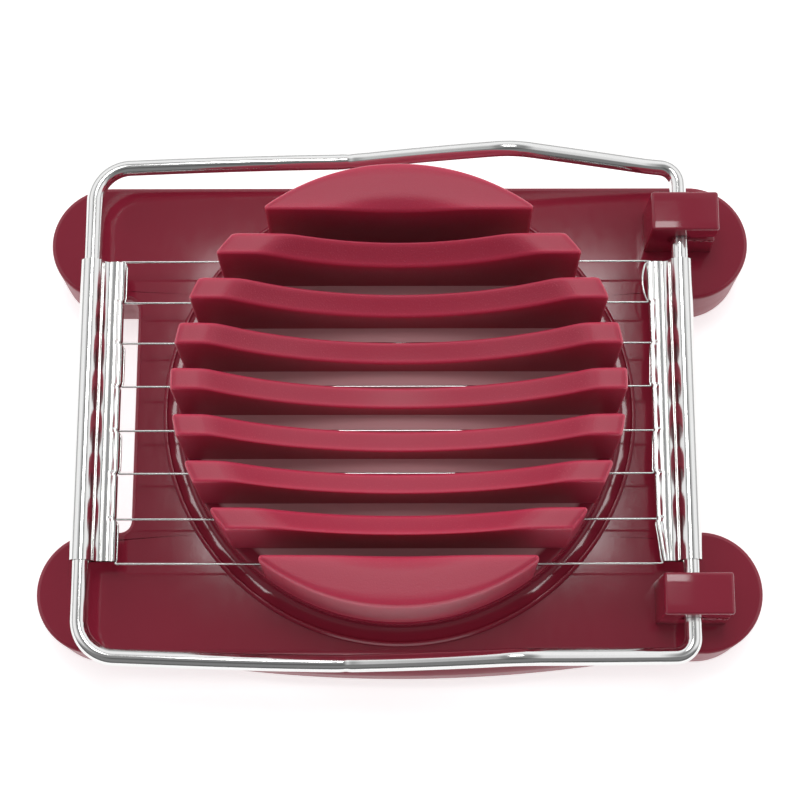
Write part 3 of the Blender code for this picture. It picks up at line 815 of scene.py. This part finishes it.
def wire_path(first_y, second_y, loose, corner_back):
    """One strand out, a turn along the hinge rail's lip, the other back, a turn along the free lip."""
    left = free_x + rail_reach + 0.1 * MM + wire_radius
    right = hinge_x - rail_reach - 0.1 * MM - wire_radius
    tuck = 0.7 * MM
    towards = math.copysign(1, second_y - first_y)
    rise = 0.25 * MM
    points = [(left - tuck, first_y, 0), (right + tuck, first_y, rise)]
    if loose > 0:
        for share in np.linspace(0.08, 0.92, 9):
            swing = loose * math.sin(math.pi * share)
            points += [(right - swing, first_y + (second_y - first_y) * share, rise + 0.4 * swing)]
    else:
        points += [(right + 0.2 * MM, first_y + towards * 0.5 * MM, rise),
                   (right + corner_back, second_y - towards * 0.5 * MM, rise)]
    points += [(right + corner_back + 0.2 * MM, second_y, rise), (left - tuck * 0.3, second_y, 0),
               (left, second_y - towards * 0.6 * MM, 0), (left, first_y + towards * 0.7 * MM, 0),
               (left - tuck, first_y + towards * 0.35 * MM, 0)]
    path = np.array(points) + [0, 0, wire_z]
    return soften(path, 0.12 * MM, 3)


for number in range(4):
    first_y, second_y = strand_y[2 * number], strand_y[2 * number + 1]
    loose = 0.6 * MM if number == 0 else 0.0
    corner_back = 0.8 * MM if number == 3 else 0.0
    path = wire_path(first_y, second_y, loose, corner_back)
    tube = carry(path, round_section(wire_radius, 10))
    wire = make_piece("cutting_wire_loop_%d" % (number + 1), *tube, wire_steel, "cutting_frame",
                      "cutting_wire_%d" % (number + 1), "wire_steel")
    cap_ends(wire)

# %% [markdown]
# ## Floor, light and camera
# A white floor, a white room that darkens overhead, and one soft panel high behind the slicer. The dark
# overhead is what keeps a glossy flat deck deep in colour; the panel lights the slot floors, and their pale
# colour is a painted reflection of it. The camera looks down from almost straight above, close enough for the
# tall cup to hide what is behind it.

# %% Floor
def pale_floor():
    finish = Finish("pale_floor", {
        "Roughness": 0.9, "Specular IOR Level": 0.0, "Base Color": (0.93, 0.93, 0.93, 1),
        "Emission Color": (1, 1, 1, 1), "Emission Strength": 0.62})
    mesh = bpy.data.meshes.new("floor")
    reach = 1.5
    corners = [(-reach, -reach, 0), (reach, -reach, 0), (reach, reach, 0), (-reach, reach, 0)]
    mesh.from_pydata(corners, [], [(0, 1, 2, 3)])
    mesh.materials.append(finish.material)
    floor = bpy.data.objects.new("floor", mesh)
    bpy.context.scene.collection.objects.link(floor)


pale_floor()

# %% Room and soft panel
def white_room():
    """Brightness by direction.

    By height above the horizon: dim low down, white between 20 and 50 degrees, dim at the zenith. That is
    multiplied by a strength that falls from rear_strength to front_strength towards the viewer's side, -Y.
    """
    world = bpy.data.worlds.new("white_room")
    world.use_nodes = True
    tree = world.node_tree
    background = tree.nodes["Background"]
    direction = tree.nodes.new("ShaderNodeTexCoord")
    split = tree.nodes.new("ShaderNodeSeparateXYZ")
    ramp = tree.nodes.new("ShaderNodeValToRGB")
    tree.links.new(direction.outputs["Generated"], split.inputs["Vector"])
    tree.links.new(split.outputs["Z"], ramp.inputs["Fac"])
    stops = [(0.0, 0.42), (0.22, 0.50), (0.36, 1.0), (0.76, 1.0), (0.93, 0.27)]
    ramp.color_ramp.elements[0].position, ramp.color_ramp.elements[1].position = stops[0][0], stops[-1][0]
    for position, _ in stops[1:-1]:
        ramp.color_ramp.elements.new(position)
    for element, (_, grey) in zip(ramp.color_ramp.elements, stops):
        element.color = (grey, grey, grey * 1.01, 1.0)
    tree.links.new(ramp.outputs["Color"], background.inputs["Color"])
    front_strength, rear_strength = 0.25, 1.12
    front = tree.nodes.new("ShaderNodeMapRange")
    for socket, value in ((1, -0.42), (2, -0.20), (3, front_strength), (4, rear_strength)):
        front.inputs[socket].default_value = value
    tree.links.new(split.outputs["Y"], front.inputs[0])
    tree.links.new(front.outputs[0], background.inputs["Strength"])
    bpy.context.scene.world = world


def soft_panel(name, place, aim, size, power):
    light = bpy.data.lights.new(name, "AREA")
    light.shape = "RECTANGLE"
    light.size, light.size_y = size
    light.energy = power
    lamp = bpy.data.objects.new(name, light)
    lamp.location = place
    direction = np.subtract(aim, place)
    direction = direction / np.linalg.norm(direction)
    lamp.rotation_mode = "QUATERNION"
    lamp.rotation_quaternion = Vector(direction).to_track_quat("-Z", "Y")
    bpy.context.scene.collection.objects.link(lamp)


white_room()
soft_panel("panel_over_cup", (0.0, 0.145, 0.61), (0, 0, 0), (0.19, 0.14), 0.6)

# %% Camera
def close_camera():
    """Held by an angle round the slicer, an angle above the table, a small tilt, and a distance."""
    azimuth, elevation, tilt = math.radians(1.027), math.radians(76.16), math.radians(-1.057)
    distance = 265.48 * MM
    aim = np.array([0.234 * MM, 1.815 * MM, deck_z])
    back = np.array([math.sin(azimuth) * math.cos(elevation), -math.cos(azimuth) * math.cos(elevation),
                     math.sin(elevation)])
    right = np.cross([0, 0, 1], back)
    right /= np.linalg.norm(right)
    up = np.cross(back, right)
    tilted_right = math.cos(tilt) * right + math.sin(tilt) * up
    tilted_up = -math.sin(tilt) * right + math.cos(tilt) * up
    camera = bpy.data.objects.new("camera", bpy.data.cameras.new("camera"))
    camera.data.lens = 86.57
    camera.data.sensor_width = 36.0
    camera.data.shift_x, camera.data.shift_y = -0.0015, 0.0010
    camera.data.clip_start = 0.01
    place = aim + back * distance
    camera.matrix_world = Matrix([[tilted_right[k], tilted_up[k], back[k], place[k]] for k in range(3)]
                                 + [[0, 0, 0, 1]])
    bpy.context.scene.collection.objects.link(camera)
    bpy.context.scene.camera = camera


close_camera()
bpy.context.scene.view_settings.view_transform = "Standard"
